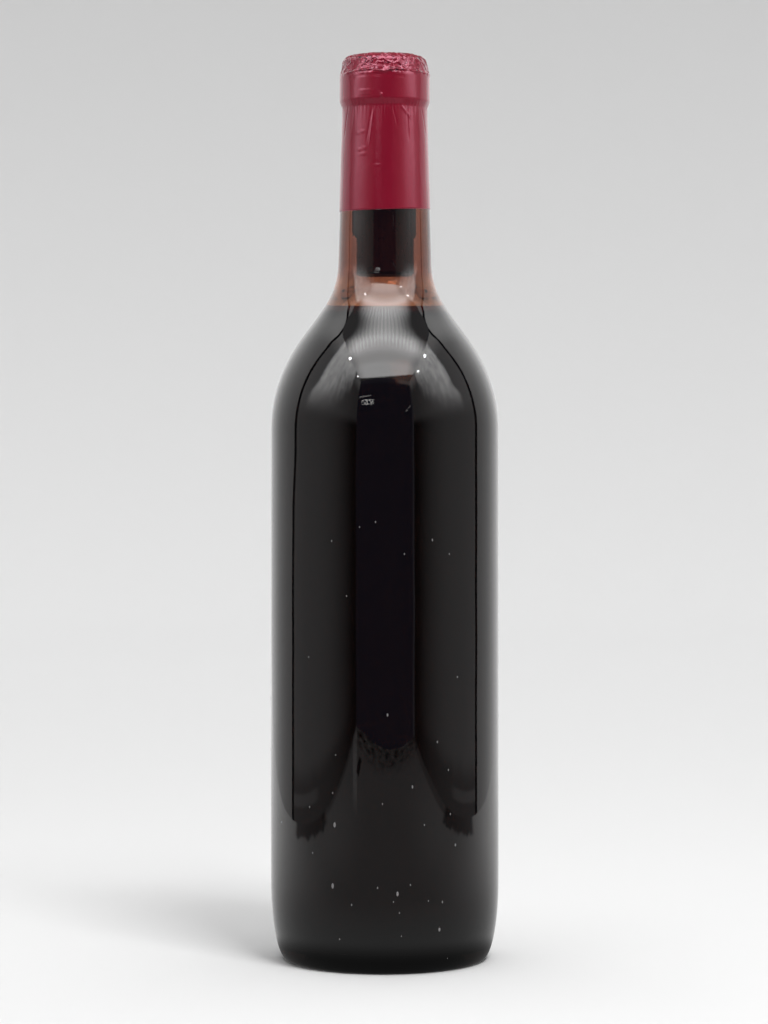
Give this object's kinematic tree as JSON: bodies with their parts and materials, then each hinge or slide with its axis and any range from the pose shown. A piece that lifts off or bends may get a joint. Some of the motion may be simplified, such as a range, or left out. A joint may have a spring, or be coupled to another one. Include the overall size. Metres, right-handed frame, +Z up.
{
  "type": "wine bottle",
  "caption": "Full, stopped wine bottle with straight sides, round shoulders, a tapered neck, a pushed-up base, a cork and a crumpled foil capsule.",
  "frame": {"origin": "centre of the foot, on the surface the bottle stands on", "axes": "+Z up along the bottle's axis; the picture looks along +Y"},
  "size_m": [0.076, 0.076, 0.3],
  "materials": {
    "bottle_glass": "amber-brown bottle glass, polished, with small seeds and a faint waviness",
    "wine": "dark red wine, clear and smooth",
    "cork": "natural cork, matt",
    "capsule": "wine-red metallic foil, satin, creased"
  },
  "bodies": {
    "root": {"bottle_glass": "bottle_glass", "wine": "wine", "cork": "cork", "capsule": "capsule"}
  },
  "joints": []
}
